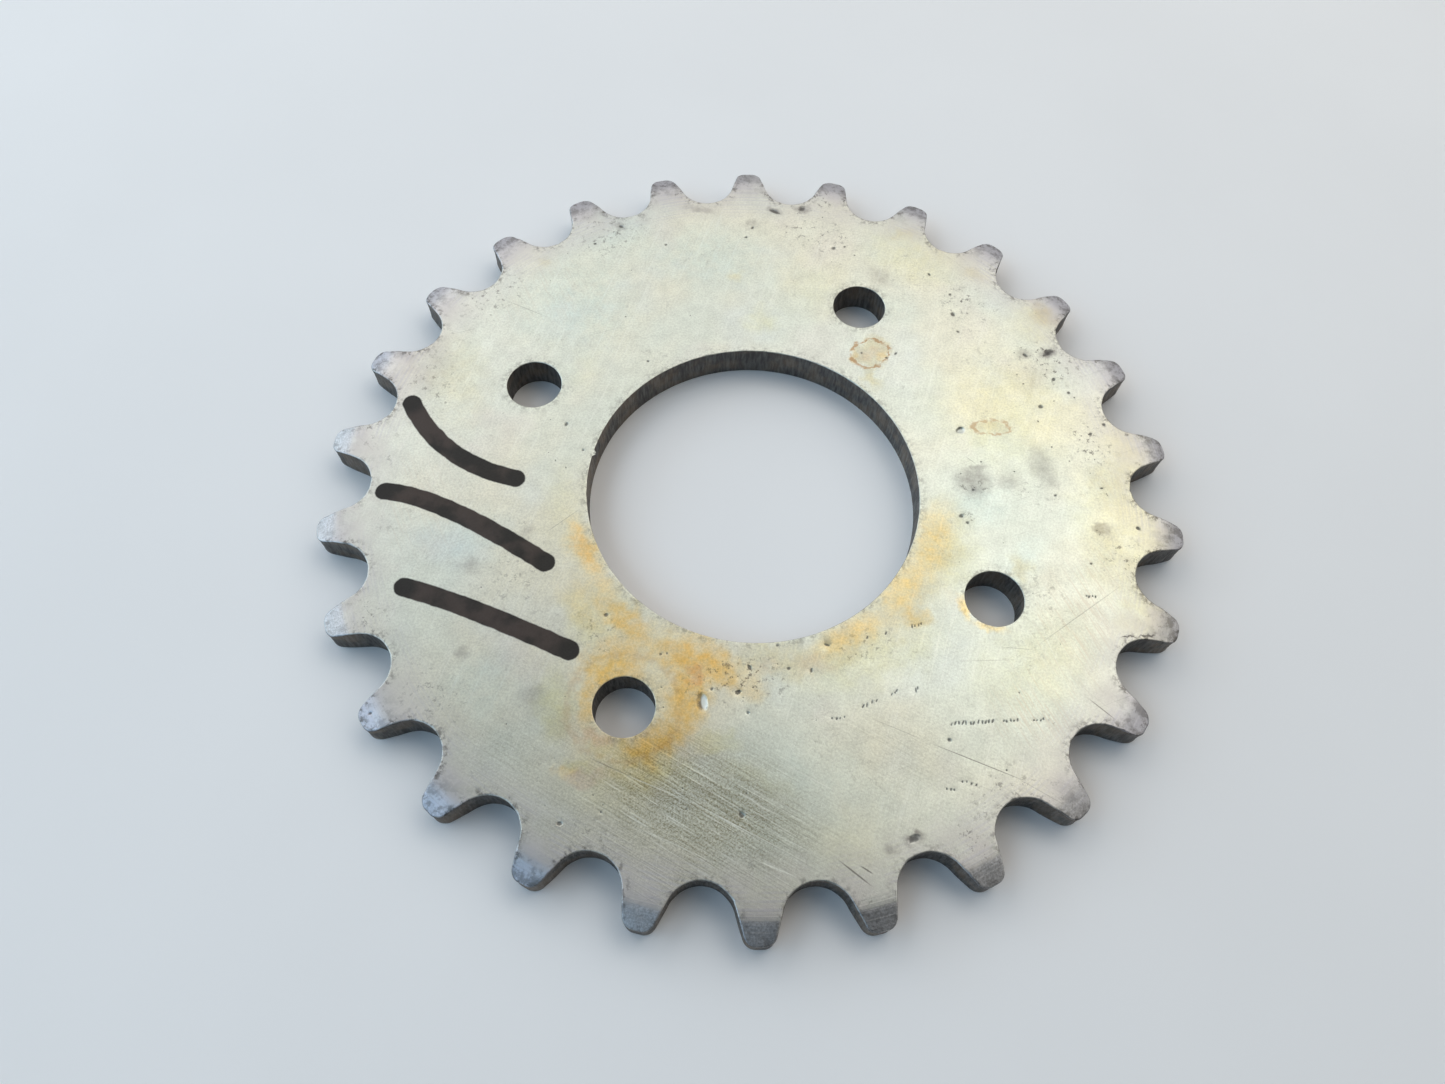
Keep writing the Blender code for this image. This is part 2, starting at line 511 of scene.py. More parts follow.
def inner_points(rim_tree, face, pen):
    """Points inside one face: a lattice, finer at the chamfer, in dents and under the pen."""
    dent_zone = [(dent, 1.25 * dent[1] + 0.15) for dent in face.dents]
    reach = max(zone for _, zone in dent_zone)

    def in_dent(point):
        for _, index, distance in face.tree.find_range((point.x, point.y, 0), reach):
            if distance < dent_zone[index][1]:
                return True
        return False

    def off_edge(point, distance):
        return nearest(rim_tree, point.x, point.y) > distance

    def pen_distance(point):
        return nearest(pen, point.x, point.y) if pen else TIP_RADIUS

    pen_reach = PEN_WIDTH / 2 + 0.6
    points = [
        point
        for point in lattice(FACE_SPACING)
        if point.length < CHAMFER_RADIUS - 0.8
        and off_edge(point, 0.6)
        and pen_distance(point) > pen_reach
        and not in_dent(point)
    ]
    if pen:
        points += [
            point
            for point in lattice(INK_SPACING)
            if pen_distance(point) < pen_reach and off_edge(point, 0.5) and not in_dent(point)
        ]
    points += [point for point in chamfer_points() if off_edge(point, 0.32)]
    for dent in face.dents:
        points += [point for point in dent_points(dent) if off_edge(point, 0.35)]
    return points


def back_dents():
    """Pits strewn by chance over the back face."""
    chance = random.Random(SEED + 1)
    dents = []
    while len(dents) < BACK_PITS:
        far = BORE_RADIUS + (BACK_PITS_REACH - BORE_RADIUS) * sqrt(chance.random())
        place = direction(chance.uniform(0, 2 * pi)) * far
        half = chance.uniform(0.10, 0.30)
        wide = half * chance.uniform(0.5, 1)
        dents.append((place, half, wide, chance.uniform(0, pi), half * 0.4))
    return dents


def plate_mesh():
    """The whole plate as one closed mesh, with its wear values as attributes."""
    loops = edge_loops()
    curves = pen_curves()
    pen = tree_of([point for curve in curves for point in curve])
    pen_ends = tree_of([curve[end] for curve in curves for end in (0, -1)])
    made = PlateMesh(Face(all_dents(), 0), Face(back_dents(), 40))
    made.rim_tree = tree_of([point for loop in loops for point in loop])
    walls = made.add_walls(loops)
    made.add_face(True, walls, inner_points(made.rim_tree, made.top, pen))
    made.add_face(False, walls, inner_points(made.rim_tree, made.bottom, None))

    on_top = [z > THICKNESS / 2 for _, _, z in made.vertices]
    made.wear["ink"] = [
        nearest(pen, x, y) if top else TIP_RADIUS
        for (x, y, z), top in zip(made.vertices, on_top)
    ]
    made.wear["ink_end"] = [nearest(pen_ends, x, y) for x, y, z in made.vertices]
    made.wear["height"] = [z for _, _, z in made.vertices]

    mesh = bpy.data.meshes.new("worn_plate")
    mesh.from_pydata([Vector(place) * MM for place in made.vertices], [], made.faces)
    mesh.validate()
    for name, values in made.wear.items():
        mesh.attributes.new(name, "FLOAT", "POINT").data.foreach_set("value", values)
    mesh.shade_smooth()
    mesh.update()
    return mesh


# ---------------- shader nodes
class Graph:
    """Short calls that add shader nodes. A value is a number, a colour or another node's output."""

    def __init__(self, material):
        material.use_nodes = True
        self.tree = material.node_tree
        self.shader = self.tree.nodes["Principled BSDF"]

    def node(self, kind, inputs=None, **settings):
        made = self.tree.nodes.new("ShaderNode" + kind)
        for name, value in settings.items():
            setattr(made, name, value)
        for name, value in (inputs or {}).items():
            self.feed(made.inputs[name], value)
        return made

    def feed(self, socket, value):
        if isinstance(value, bpy.types.NodeSocket):
            self.tree.links.new(value, socket)
        else:
            socket.default_value = value

    def math(self, operation, *values):
        made = self.node("Math", operation=operation)
        for socket, value in zip(made.inputs, values):
            self.feed(socket, value)
        return made.outputs[0]

    def placed(self, position, place=(0, 0, 0), turn=0.0, size=(1, 1, 1)):
        """The position as seen from a frame at place, turned by turn, in units of size."""
        inputs = {"Vector": position, "Location": place, "Rotation": (0, 0, turn), "Scale": size}
        return self.node("Mapping", inputs, vector_type="TEXTURE").outputs["Vector"]

    def moved(self, position, shift, size=(1, 1, 1)):
        """The position scaled by size and then moved by shift, which may be another output."""
        inputs = {"Vector": position, "Location": shift, "Scale": size}
        return self.node("Mapping", inputs, vector_type="POINT").outputs["Vector"]

    def nearness(self, position):
        """1 at the position's origin, falling evenly to 0 at distance 1 and beyond."""
        made = self.node("TexGradient", {"Vector": position}, gradient_type="SPHERICAL")
        return made.outputs["Fac"]

    def step(self, value, low, high, strength=1.0):
        """Rises smoothly from 0 at low to strength at high, or falls if high is the smaller."""
        inputs = {"Value": value, "From Min": low, "From Max": high, "To Max": strength}
        return self.node("MapRange", inputs, interpolation_type="SMOOTHSTEP").outputs["Result"]

    def noise(self, position, scale, detail=2.0, roughness=0.5):
        inputs = {"Vector": position, "Scale": scale, "Detail": detail, "Roughness": roughness}
        return self.node("TexNoise", inputs).outputs

    def cloud(self, position, scale, low, high, detail=2.0, roughness=0.5, strength=1.0):
        """Noise cut so that it is 0 where below low and strength where above high."""
        made = self.noise(position, scale, detail, roughness)
        return self.step(made["Fac"], low, high, strength)

    def mix(self, share, first, second, blend="MIX"):
        made = self.node("Mix", data_type="RGBA", blend_type=blend)
        self.feed(made.inputs[0], share)
        self.feed(made.inputs[6], first)
        self.feed(made.inputs[7], second)
        return made.outputs[2]

    def product(self, *values):
        result = values[0]
        for value in values[1:]:
            result = self.math("MULTIPLY", result, value)
        return result

    def most(self, *values):
        result = values[0]
        for value in values[1:]:
            result = self.math("MAXIMUM", result, value)
        return result

    def wear(self, name):
        return self.node("Attribute", attribute_name=name).outputs["Fac"]

    def blots(self, flat, marks):
        """Soft patches as one mask."""
        mask = 0.0
        for x, y, half_x, half_y, turn, soft, strength in marks:
            local = self.placed(flat, (x, y, 0), radians(turn), (half_x, half_y, 1))
            mask = self.most(self.step(self.nearness(local), 0, soft, strength), mask)
        return mask

    def rings(self, flat, marks):
        """Thin outlines of patches as one mask."""
        mask = 0.0
        for x, y, half_x, half_y, turn, width, strength in marks:
            local = self.placed(flat, (x, y, 0), radians(turn), (2 * half_x, 2 * half_y, 1))
            off_line = self.math("ABSOLUTE", self.math("SUBTRACT", self.nearness(local), 0.5))
            mask = self.most(self.step(off_line, width / 2, width * 0.1, strength), mask)
        return mask

    def scratches(self, flat, marks):
        """Long thin marks that taper to both ends, as one mask."""
        mask = 0.0
        for x1, y1, x2, y2, width, strength in marks:
            middle = ((x1 + x2) / 2, (y1 + y2) / 2, 0)
            half = hypot(x2 - x1, y2 - y1) / 2
            local = self.placed(flat, middle, atan2(y2 - y1, x2 - x1), (half, width / 2, 1))
            mask = self.most(self.step(self.nearness(local), 0, 0.6, strength), mask)
        return mask

    def streaks(self, position, turn, length, width, low, high, strength=1.0):
        """Fine parallel lines, as a grinding belt leaves them."""
        local = self.placed(position, (0, 0, 0), radians(turn), (length, width, 1))
        return self.cloud(local, 1, low, high, 3, 0.6, strength)


# ---------------- colours of the plate
def rgb(red, green, blue):
    return (red, green, blue, 1)


ZINC_CREAM = rgb(0.77, 0.755, 0.625)
ZINC_GREEN = rgb(0.71, 0.745, 0.655)
ZINC_BLUE = rgb(0.67, 0.735, 0.74)
ZINC_PINK = rgb(0.72, 0.665, 0.62)
ZINC_DULL = rgb(0.215, 0.198, 0.122)
# Bright zinc, also used for the painted glint on edges and the painted highlight on burrs
ZINC_BRIGHT_AND_HIGHLIGHT = rgb(0.80, 0.81, 0.74)
HATCH_TAN = rgb(0.60, 0.555, 0.46)
TOOTH_GREY = rgb(0.56, 0.53, 0.505)
TIP_GREY = rgb(0.47, 0.46, 0.50)
TINT_STRAW = rgb(1.04, 1.0, 0.80)
TINT_GREEN = rgb(0.88, 0.98, 1.04)
TINT_YELLOW = rgb(0.98, 0.92, 0.56)
TINT_TAN = rgb(1.06, 0.93, 0.68)
TINT_ORANGE = rgb(1.10, 0.80, 0.36)
TINT_PEACH = rgb(1.40, 1.06, 0.55)
TINT_PINK = rgb(0.92, 0.76, 0.76)
TINT_SMUDGE = rgb(0.47, 0.44, 0.46)
STAIN_BROWN = rgb(0.42, 0.25, 0.12)
BARE_STEEL = rgb(0.40, 0.39, 0.385)
BARE_STEEL_LIGHT = rgb(0.60, 0.595, 0.60)
WALL_DARK = rgb(0.10, 0.095, 0.09)
WALL_BROWN = rgb(0.20, 0.16, 0.125)
WALL_SCUFF = rgb(0.36, 0.35, 0.33)
SPECK_DARK = rgb(0.13, 0.12, 0.11)
INK_BLACK = rgb(0.012, 0.008, 0.008)
INK_BROWN = rgb(0.048, 0.031, 0.027)
FLOOR_SHADE = rgb(0.90, 0.885, 0.87)
FLOOR_PALE = rgb(0.92, 0.905, 0.89)
WORLD_COLOUR = rgb(0.92, 0.96, 1.0)
WORLD_STRENGTH = 0.08

# Where the teeth start to turn grey, and how far out a radius can be measured
TEETH_FROM = 43.5
RADIUS_REACH = 100

# Patches on the front face: place, half sizes, turn in degrees, softness of the edge, strength
STRAW_BLOTS = [
    (34, 14, 15, 14, 0, 0.95, 0.85),
    (46, -3, 8, 16, 0, 0.95, 0.8),
    (22, 40, 11, 8, -25, 0.95, 0.75),
    (39, 28, 7, 6, -50, 0.95, 0.6),
    (0.4, 26.6, 3.8, 3.4, 0, 0.9, 0.75),
    (8, 33, 9, 8, 0, 0.95, 0.4),
    (-40, 14, 6, 12, 10, 0.95, 0.5),
    (-24, 17, 4, 5, 0, 0.95, 0.3),
    (16, -22, 15, 5, 25, 0.95, 0.8),
    (34, -22, 12, 8, 40, 0.95, 0.65),
    (-14, -38, 9, 6, 0, 0.95, 0.6),
    (-24, -4, 4, 9, 0, 0.95, 0.45),
    (12, -44, 7, 5, 0, 0.95, 0.35),
    (29.6, 9.4, 4.2, 3.2, 0, 0.9, 0.8),
    (48.5, -4, 6, 26, 0, 0.7, 0.9),
    (25, -9, 6, 10, 0, 0.95, 0.6),
]
GREEN_BLOTS = [
    (-25, 28, 13, 13, 0, 0.95, 0.95),
    (-8, 38, 16, 9, 0, 0.95, 0.8),
    (-20, 42, 12, 8, 25, 0.95, 0.5),
    (-35, -9, 8, 6, 0, 0.95, 0.6),
    (-31, -28, 7, 6, 0, 0.95, 0.6),
    (10, -37, 15, 6, -20, 0.95, 0.35),
    (29, -1, 7, 5, 0, 0.95, 0.6),
    (34, -9, 4, 6, -30, 0.95, 0.6),
    (18, 30, 7, 5, 0, 0.95, 0.45),
]
YELLOW_BLOTS = [
    (-11, -36.4, 8.5, 3.6, -12, 0.95, 0.7),
    (-18.6, -36.8, 2.6, 1.4, 0, 0.9, 0.5),
    (-3, -33.4, 3.6, 2, 8, 0.9, 0.55),
    (-22, -30, 3.2, 6, 10, 0.95, 0.6),
    (-20, -20, 3, 6, 30, 0.95, 0.45),
    (2, -37.5, 6, 2, -20, 0.9, 0.22),
]
TAN_BLOTS = [
    (-20.4, -10.2, 6.5, 3.2, -62, 0.8, 0.9),
    (-16.8, -18.4, 9.5, 5.2, -44, 0.8, 1),
    (-8, -23.4, 10.5, 5.6, -20, 0.8, 1),
    (-12.5, -30.8, 10, 9, 0, 0.5, 0.75),
    (3, -23.4, 9.5, 3.6, 6, 0.8, 0.7),
    (12, -20.2, 9, 3.6, 32, 0.9, 0.85),
    (19.2, -14, 11, 6, 52, 0.95, 0.65),
    (23, -7.4, 10, 5, 74, 0.95, 0.7),
    (15.2, 18, 1.6, 3, 20, 0.8, 0.75),
    (15.5, 21.9, 3.4, 3, 35, 0.4, 0.75),
    (31, 10.8, 3.2, 1.5, 5, 0.6, 0.45),
    (40, 30, 3.4, 2.6, -40, 0.9, 0.55),
    (30.6, 37, 2.4, 1.8, 0, 0.9, 0.4),
    (20.4, 43.6, 2.6, 1.8, 0, 0.9, 0.35),
    (-3.6, 34.6, 1.7, 1.5, 0, 0.9, 0.7),
    (-31.5, 35, 1.7, 1.3, 0, 0.9, 0.35),
    (45, 3.2, 3.4, 4, 0, 0.95, 0.25),
    (44, -8, 3.8, 5.6, 0, 0.95, 0.15),
]
ORANGE_BLOTS = [
    (-16, -25, 5.4, 4.2, 25, 0.75, 1),
    (-14.6, -19.8, 6.4, 2.6, -44, 0.85, 0.85),
    (-5.6, -23.9, 7.6, 3.6, -16, 0.8, 0.95),
    (-2.6, -25.6, 3.6, 2.6, -20, 0.8, 0.85),
    (-6.6, -28.6, 3.6, 6.6, -10, 0.8, 1),
    (-9.6, -33.6, 6.2, 3.2, 30, 0.8, 1),
    (-18.4, -29, 1.7, 5, 5, 0.9, 0.75),
    (-20.6, -10, 4, 1.9, -62, 0.9, 0.75),
    (0.5, -27, 2.8, 2.4, 0, 0.9, 0.5),
    (20.4, -17.2, 3, 1.4, -8, 0.8, 0.6),
    (33.4, -9.6, 2.2, 3.4, 10, 0.95, 0.45),
    (-20, -37.6, 2.4, 1.2, 0, 0.8, 0.6),
    (17.4, 21.2, 1, 1.8, 20, 0.8, 0.45),
    (13.2, 21.2, 0.9, 1.6, 0, 0.8, 0.45),
]
RIM_BLOTS = [
    (26.2, -15.4, 1, 2.4, 15, 0.9, 1),
    (28.8, -17.7, 3, 0.9, -12, 0.9, 0.8),
    (22.6, -6.6, 8.5, 3.4, 73, 0.95, 0.6),
    (19.2, -12.6, 9, 3.4, 57, 0.95, 0.7),
    (12.6, -19.2, 8.5, 2.6, 34, 0.95, 0.6),
    (-21.4, -8.6, 5, 1.5, -66, 0.95, 0.3),
    (-18.6, -13.4, 5, 1.6, -52, 0.95, 0.35),
]
PINK_BLOTS = [
    (-41, 8, 15, 32, -8, 0.95, 0.22),
    (-16.6, -34, 2.8, 1.2, -8, 0.8, 0.7),
    (-17.6, -38.2, 3.2, 1.2, 10, 0.8, 0.7),
    (-6.2, -25.6, 1.3, 1.8, 10, 0.5, 0.85),
    (8, -23.5, 3.5, 1.8, 0, 0.9, 0.35),
    (2, -24.4, 2.6, 1.8, 0, 0.9, 0.35),
    (15.4, 21.9, 2.1, 1.6, 35, 0.6, 0.35),
    (39, 34, 2.4, 1.6, -40, 0.9, 0.5),
]
DULL_BLOTS = [
    (-5, -41, 20, 12, -18, 0.8, 1),
    (-12, -47, 22, 9, -6, 0.9, 0.7),
    (-27, -38, 12, 10, -30, 0.95, 0.45),
    (-7, -47, 13, 8, 0, 0.9, 0.75),
    (-19, -44, 15, 9, -15, 0.9, 0.55),
    (-20, -33, 8, 6, 0, 0.95, 0.35),
    (17, -33, 12, 6, -20, 0.95, 0.22),
]
HATCHED_BLOTS = [
    (41, -16, 9, 16, -20, 0.9, 0.85),
    (34, -28, 9, 9, 0, 0.9, 0.7),
    (46, 4, 5, 9, 0, 0.9, 0.5),
    (-30, 30, 14, 9, 35, 0.9, 0.45),
    (-42, -4, 8, 12, 0, 0.9, 0.4),
]
BARE_TOOTH_BLOTS = [
    (8, -57, 42, 21, 27, 0.35, 1),
    (-56, 1, 10, 14, 0, 0.3, 0.85),
    (-52, -22, 10, 12, 0, 0.4, 0.9),
    (2, 58, 14, 8, 0, 0.5, 0.25),
]
SPECK_BLOTS = [
    (28, 1.6, 3.4, 2.6, 0, 0.9, 0.75),
    (35, 1.6, 4, 2, 0, 0.9, 0.45),
    (27, -3.2, 1.8, 1.8, 0, 0.9, 0.9),
    (43.6, -4.2, 1.5, 1.3, 0, 0.9, 0.9),
    (40, 22, 6.5, 5.5, -50, 0.9, 0.85),
    (44, 9, 5, 6, 0, 0.9, 0.75),
    (29, 32, 8, 5, -45, 0.9, 0.7),
    (8, 43, 9, 5, -10, 0.9, 0.65),
    (-22, 40, 10, 5, 30, 0.9, 0.6),
    (-38, 29, 8, 8, 45, 0.9, 0.6),
    (-44, 12, 7, 8, 0, 0.9, 0.5),
    (-18, -21, 5, 5, 0, 0.9, 0.5),
    (-1, -26, 10, 5, 0, 0.9, 0.8),
    (14, -21, 7, 4, 25, 0.9, 0.55),
    (36, -14, 5, 7, 0, 0.9, 0.4),
    (47, -8, 4, 6, 0, 0.9, 0.7),
    (29, -38, 8, 5, 35, 0.9, 0.55),
    (-29, -14, 8, 10, 0, 0.9, 0.35),
    (-36, -30, 6, 8, 40, 0.9, 0.45),
    (-16, -45, 8, 4, -20, 0.9, 0.4),
]
SMUDGE_BLOTS = [
    (28.4, 2.4, 3.6, 3.2, 15, 0.85, 0.94),
    (28.8, 4.4, 2, 0.9, 8, 0.7, 0.81),
    (37.4, 5.2, 2.6, 4.8, 12, 0.95, 0.68),
    (38.6, 3.2, 1.5, 2, 0, 0.9, 0.57),
    (33, 2.6, 3.2, 1.9, 0, 0.95, 0.49),
    (44.3, -3.6, 1.6, 1.3, 20, 0.5, 0.81),
    (19, -43, 1.7, 1, 25, 0.8, 1),
    (16.4, -44.4, 1.2, 1, 0, 0.9, 0.65),
    (17.2, 35.4, 3.4, 2.3, -30, 0.95, 0.47),
    (40, 23.4, 1.8, 1.3, 30, 0.8, 1),
    (36.9, 23.2, 1.7, 1.3, 0, 0.9, 0.73),
    (5.8, 47.6, 1.6, 1.2, 0, 0.8, 1),
    (1.6, 47.1, 2, 0.8, -25, 0.8, 0.86),
    (-1.8, 44.2, 1.7, 1.3, 0, 0.95, 0.57),
    (-21, 42.5, 1.6, 1, -20, 0.9, 0.73),
    (-9.5, 46.6, 3.9, 1, -10, 0.95, 0.57),
    (-34.4, -13, 2, 1.6, 0, 0.95, 0.51),
    (-28.2, -8, 1.7, 1.2, 30, 0.95, 0.47),
    (-33.4, -24.4, 1.6, 1.2, 0, 0.95, 0.61),
    (-24.6, -29, 2.6, 1.7, 0, 0.95, 0.43),
    (-44, 16, 6.5, 7.8, 0, 0.95, 0.35),
    (38, 19, 5.2, 3.9, 40, 0.95, 0.3),
]
# Bright patches at two dents: bare metal of raised burrs, with a painted highlight on their lips
BURR_HIGHLIGHTS = [
    (-4.75, -28.85, 1.15, 0.5, 100, 0.5, 0.9),
    (27.22, 9.98, 0.78, 0.52, 25, 0.5, 0.9),
]
# Rings left by drops, with the width of the line in place of the softness
STAIN_RINGS = [
    (15.4, 21.9, 2.75, 2.25, 35, 0.12, 0.8),
    (31.3, 10.8, 2.5, 1.15, 5, 0.2, 0.6),
    (-13.98, -29.9, 6.6, 6.4, 0, 0.1, 0.2),
]
# Scratches and cracks: first place, last place, width, strength
DARK_SCRATCHES = [
    (20, -31.9, 33, -36.6, 0.16, 0.7),
    (14, -29.6, 21.5, -32.4, 0.12, 0.35),
    (30, -35.4, 37, -39.2, 0.12, 0.3),
    (10.2, -45.4, 14.7, -48.6, 0.26, 0.75),
    (12.8, -46.1, 14.6, -47.1, 0.22, 0.75),
    (39.6, -25.8, 43.2, -28.8, 0.2, 0.65),
    (33, -21, 47.5, -10, 0.16, 0.35),
    (29.4, -20.2, 34.8, -20.4, 0.14, 0.35),
    (23.5, -22.4, 33.8, -21.6, 0.12, 0.3),
    (-36.4, 28.2, -28.8, 25, 0.16, 0.35),
    (-26.4, -8.8, -21.2, -4, 0.12, 0.4),
    (-17.8, -35.8, -12.2, -38, 0.2, 0.4),
    (27.4, 6.2, 29, 4.9, 0.16, 0.4),
]
CRACKS = [
    (44.2, -18.3, 47.4, -17.9, 0.42, 0.95),
    (46.4, -17.9, 49.6, -17.5, 0.5, 0.95),
]
LIGHT_SCRATCHES = [
    (-8, -39.2, 8.6, -46.8, 0.22, 0.55),
    (-14.5, -37.2, -5.5, -40.4, 0.18, 0.4),
    (3.8, -35.2, 12.5, -39.4, 0.16, 0.4),
    (0.6, -45.8, 7, -48, 0.22, 0.55),
    (-10.5, -43.6, -1.5, -47.2, 0.18, 0.45),
    (-3, -37, 4.5, -40.6, 0.14, 0.35),
    (2, -42.6, 9.5, -45.8, 0.14, 0.4),
    (34, -13, 38, -26, 0.14, 0.3),
    (40, -6, 43.5, -19, 0.14, 0.3),
]

# ---------------- camera, lights and floor
# The camera's place from the bore's centre on the front face, and how it is turned from there
CAMERA_PLACE = (-3.60, -63.85, 112.84)
CAMERA_TILT = radians(26.263)
CAMERA_ROLL = radians(2.895)
CAMERA_LENS = 25.19

# Softboxes: name, azimuth and elevation as the camera sees them, width, height, radiance, colour
SOFTBOX_DISTANCE = 0.7
SOFTBOXES = [
    ("far_softbox", 84, 38, 1.05, 0.62, 0.95, (1.0, 1.0, 1.0)),
    ("right_softbox", 14, 43, 0.62, 0.50, 0.94, (1.0, 0.99, 0.95)),
    ("left_softbox", 152, 42, 0.70, 0.52, 1.20, (0.97, 0.99, 1.0)),
    ("window_softbox", 165, 18, 0.75, 0.28, 1.95, (0.50, 0.76, 1.0)),
    ("high_softbox", 52, 66, 0.42, 0.30, 1.66, (1.0, 0.98, 0.92)),
    ("side_softbox", 213, 46, 0.55, 0.45, 1.45, (0.45, 0.72, 1.0)),
]

# The floor, in metres, with a gap under the plate so that their faces don't meet
FLOOR_SIZE = 3.0
FLOOR_GAP = 0.00005


# ---------------- the plate's material
class PlateSurface(Graph):
    """The plate's surface, painted layer over layer. Masks that later layers need stay on self.

    Places are in millimetres: position in the round, flat on the face, and wavy and crinkled,
    which are flat places pushed about by noise, to make the edges of patches uneven.
    """

    def __init__(self, material):
        super().__init__(material)
        coordinates = self.node("TexCoord").outputs["Object"]
        self.position = self.placed(coordinates, (0, 0, 0), -TURN, (MM, MM, MM))
        self.flat = self.moved(self.position, (0, 0, 0), (1, 1, 0))
        scaled = (1 / RADIUS_REACH, 1 / RADIUS_REACH, 1)
        within = self.nearness(self.moved(self.flat, (0, 0, 0), scaled))
        self.radius = self.math("MULTIPLY_ADD", within, -RADIUS_REACH, RADIUS_REACH)
        self.front = self.step(self.wear("height"), THICKNESS * 0.6, THICKNESS * 0.8)
        self.wavy = self.pushed(0.45, 4.0)
        self.crinkled = self.pushed(1.2, 1.7)
        self.wall = self.wear("wall")
        self.rim = self.wear("rim")
        self.hollow = self.wear("hollow")
        self.ink = self.wear("ink")
        self.ink_end = self.wear("ink_end")
        self.colour = None

    def pushed(self, scale, distance):
        """The flat place pushed about by noise of the given scale."""
        colour = self.noise(self.position, scale, 3)["Color"]
        centred = (-distance / 2, -distance / 2, 0)
        shift = self.moved(colour, centred, (distance, distance, 0))
        return self.moved(self.flat, shift)

    def elsewhere(self, distance):
        """The position far off, for a noise unlike the others."""
        return self.moved(self.position, (distance, distance, distance))

    def paint(self, share, colour, blend="MIX"):
        self.colour = self.mix(share, self.colour, colour, blend)

    def paint_all(self):
        self.zinc()
        self.brushing()
        self.ground_zone()
        self.teeth()
        self.hairlines()
        self.specks()
        self.stains()
        self.long_scratches()
        self.walls()
        self.dent_shade_and_burrs()
        self.felt_pen()
        self.feed(self.shader.inputs["Base Color"], self.colour)
        self.gloss()
        self.relief()

    def zinc(self):
        """Passivated zinc: cream, green, blue and pink clouds, with a fine grain."""
        greener = self.cloud(self.position, 0.05, 0.38, 0.62, 3)
        self.colour = self.mix(greener, ZINC_CREAM, ZINC_GREEN)
        self.paint(self.cloud(self.elsewhere(70), 0.07, 0.50, 0.72, 3, strength=0.40), ZINC_BLUE)
        self.paint(self.cloud(self.elsewhere(140), 0.09, 0.54, 0.72, 3, strength=0.30), ZINC_PINK)
        mottle = self.cloud(self.position, 0.5, 0.3, 0.7, 5, 0.65, strength=0.11)
        grain = self.cloud(self.elsewhere(15), 3.8, 0.36, 0.64, 3, 0.7, strength=0.18)
        self.paint(self.math("ADD", mottle, grain), SPECK_DARK)

    def brushing(self):
        """Light lines over the whole plate, and darker ones across them in some places."""
        self.paint(self.streaks(self.position, 74, 11.0, 0.20, 0.52, 0.75, 0.35), ZINC_BRIGHT_AND_HIGHLIGHT)
        hatched = self.blots(self.wavy, HATCHED_BLOTS)
        hatching = self.streaks(self.position, -62, 4.0, 0.15, 0.50, 0.64)
        self.paint(self.product(hatching, hatched), HATCH_TAN)

    def ground_zone(self):
        """The belt-ground zone nearest the camera: duller, with a coarse grain and light lines."""
        self.dull_zone = self.product(self.blots(self.wavy, DULL_BLOTS), self.front)
        self.ground = self.streaks(self.position, -27, 9.0, 0.22, 0.42, 0.66)
        speckle = self.cloud(self.elsewhere(30), 4.0, 0.38, 0.66, 3, 0.8, strength=0.62)
        coarse = self.math("ADD", self.math("MULTIPLY_ADD", self.ground, 0.32, 0.13), speckle)
        self.paint(self.product(self.dull_zone, coarse), ZINC_DULL)
        bright_lines = self.streaks(self.elsewhere(9), -28, 6.0, 0.26, 0.58, 0.68, 0.60)
        self.paint(self.product(bright_lines, self.dull_zone), ZINC_BRIGHT_AND_HIGHLIGHT)

    def teeth(self):
        """Greyer teeth, darkest at the tips, where some chamfers are bare steel."""
        self.patchy = self.cloud(self.position, 0.3, 0.3, 0.65, 4)
        self.toothed = self.step(self.radius, TEETH_FROM, CHAMFER_RADIUS + 0.1)
        uneven = self.math("MULTIPLY_ADD", self.patchy, 0.50, 0.40)
        self.paint(self.product(self.toothed, uneven), TOOTH_GREY)

        inputs = {"W": self.radius, "Scale": 3.4}
        self.turned_lines = self.node("TexNoise", inputs, noise_dimensions="1D").outputs["Fac"]
        arcs = self.step(self.turned_lines, 0.42, 0.62, 0.5)
        broken = self.cloud(self.elsewhere(90), 0.25, 0.42, 0.62, 3)
        self.paint(self.product(arcs, self.toothed, broken), TIP_GREY)

        roughening = self.noise(self.position, 1.3, 3)["Fac"]
        ragged = self.math("MULTIPLY_ADD", roughening, 0.5, self.radius)
        crisp = self.step(ragged, CHAMFER_RADIUS + 0.18, CHAMFER_RADIUS + 0.42)
        bare_front = self.blots(self.flat, BARE_TOOTH_BLOTS)
        bare_teeth = self.most(bare_front, self.math("SUBTRACT", 1.0, self.front))
        self.soft = self.step(ragged, CHAMFER_RADIUS - 3.0, TIP_RADIUS - 0.2, 0.85)
        steel_grain = self.cloud(self.elsewhere(50), 4.5, 0.35, 0.65, 3, 0.7)
        bare = self.mix(steel_grain, BARE_STEEL, BARE_STEEL_LIGHT)
        self.coated = self.math("MULTIPLY_ADD", bare_teeth, -0.8, 1.0)
        self.paint(self.product(self.soft, self.coated), TIP_GREY)
        self.paint(self.product(crisp, bare_teeth), bare)

    def hairlines(self):
        """Few and faint dark lines, in two directions."""
        for distance, turn, strength in ((500, 23, 0.28), (560, -41, 0.22)):
            place = self.elsewhere(distance)
            self.paint(self.streaks(place, turn, 12.0, 0.12, 0.66, 0.74, strength), SPECK_DARK)

